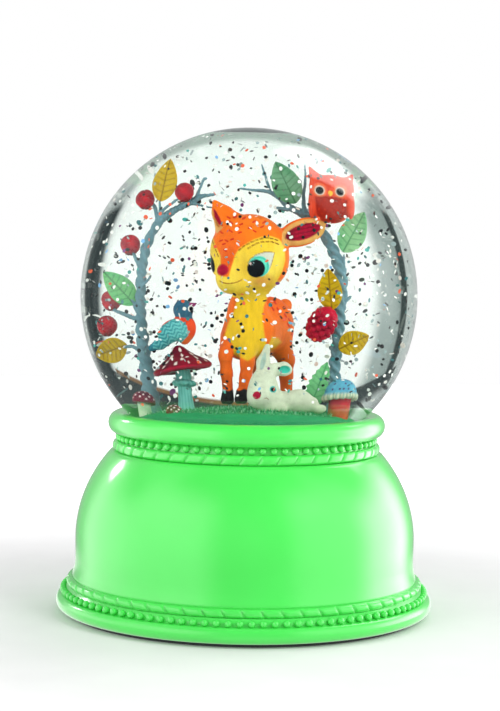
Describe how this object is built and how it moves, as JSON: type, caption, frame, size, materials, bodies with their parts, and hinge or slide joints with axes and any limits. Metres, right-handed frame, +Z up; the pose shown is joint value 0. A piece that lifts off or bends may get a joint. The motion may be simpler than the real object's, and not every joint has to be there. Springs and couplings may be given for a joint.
{
  "type": "snow globe",
  "caption": "Water-filled glass ball with a woodland animal scene and loose glitter, on a hollow bell-shaped lamp base with bead and rope mouldings.",
  "frame": {"origin": "centre of the underside of the foot pad, on the surface the globe stands on", "axes": "+Z up along the globe's axis, -Y the front that the fawn faces, +X to the viewer's right"},
  "size_m": [0.1122, 0.1122, 0.144],
  "materials": {
    "glass": "polished",
    "water": "polished",
    "glitter": "gloss",
    "clear_rubber": "satin",
    "sealant": "gloss",
    "mint_lacquer": "gloss",
    "grass": "matte",
    "fawn_paint": "satin",
    "rabbit_paint": "satin",
    "bird_paint": "satin",
    "toadstool_red": "satin",
    "toadstool_stem": "satin",
    "mushroom_blue": "satin",
    "mushroom_stem": "satin",
    "cream_stem": "satin",
    "bark": "matte",
    "leaves": "satin",
    "leaf_green": "satin",
    "berry": "gloss",
    "owl_paint": "satin",
    "pad": "matte",
    "white_plastic": "satin",
    "reflector": "gloss",
    "steel": "satin",
    "nickel": "polished",
    "cell": "satin",
    "black_plastic": "satin",
    "circuit_board": "gloss",
    "led": "polished",
    "wire_red": "satin",
    "wire_black": "satin",
    "wire_white": "satin"
  },
  "bodies": {
    "globe_and_base": {"glass_globe": "glass", "liquid_fill": "water", "glitter_flakes": "glitter", "stopper": "clear_rubber", "glue_ring": "sealant", "base_shell": "mint_lacquer", "grass_mound": "grass", "fawn": "fawn_paint", "rabbit": "rabbit_paint", "bird": "bird_paint", "toadstool_cap": "toadstool_red", "toadstool_stem": "toadstool_stem", "blue_mushroom_cap": "mushroom_blue", "blue_mushroom_stem": "mushroom_stem", "small_toadstool_caps": "toadstool_red", "small_toadstool_stems": "cream_stem", "left_tree": "bark", "right_tree": "bark", "left_tree_leaves": "leaves", "right_tree_leaves": "leaves", "left_tree_berries": "berry", "raspberry": "berry", "owl": "owl_paint", "fern_leaf": "leaf_green", "foot_pad": "pad", "bottom_plate": "white_plastic", "plate_screws": "steel", "contact_plates": "nickel", "contact_springs": "nickel", "switch_body": "black_plastic", "switch_screws": "steel", "led_board": "circuit_board", "leds": "led", "board_screws": "steel", "reflector_cup": "reflector", "battery_1": "cell", "battery_2": "cell", "battery_3": "cell", "wire_red": "wire_red", "wire_black": "wire_black", "wire_white": "wire_white"},
    "battery_door": {"battery_door": "white_plastic"},
    "door_screw_1": {"door_screw_1": "steel"},
    "door_screw_2": {"door_screw_2": "steel"},
    "switch_knob": {"switch_knob": "black_plastic"}
  },
  "joints": [
    {"name": "battery_door_lift", "type": "slide", "parent": "globe_and_base", "child": "battery_door", "axis": [0, 0, -1], "range_m": [0, 0.03]},
    {"name": "door_screw_1_turn", "type": "hinge", "parent": "battery_door", "child": "door_screw_1", "pos_m": [0, -0.0299, 0], "axis": [0, 0, 1], "continuous": true},
    {"name": "door_screw_2_turn", "type": "hinge", "parent": "battery_door", "child": "door_screw_2", "pos_m": [0, 0.0299, 0], "axis": [0, 0, 1], "continuous": true},
    {"name": "switch_slide", "type": "slide", "parent": "globe_and_base", "child": "switch_knob", "axis": [0, 1, 0], "range_m": [0, 0.0035]}
  ]
}
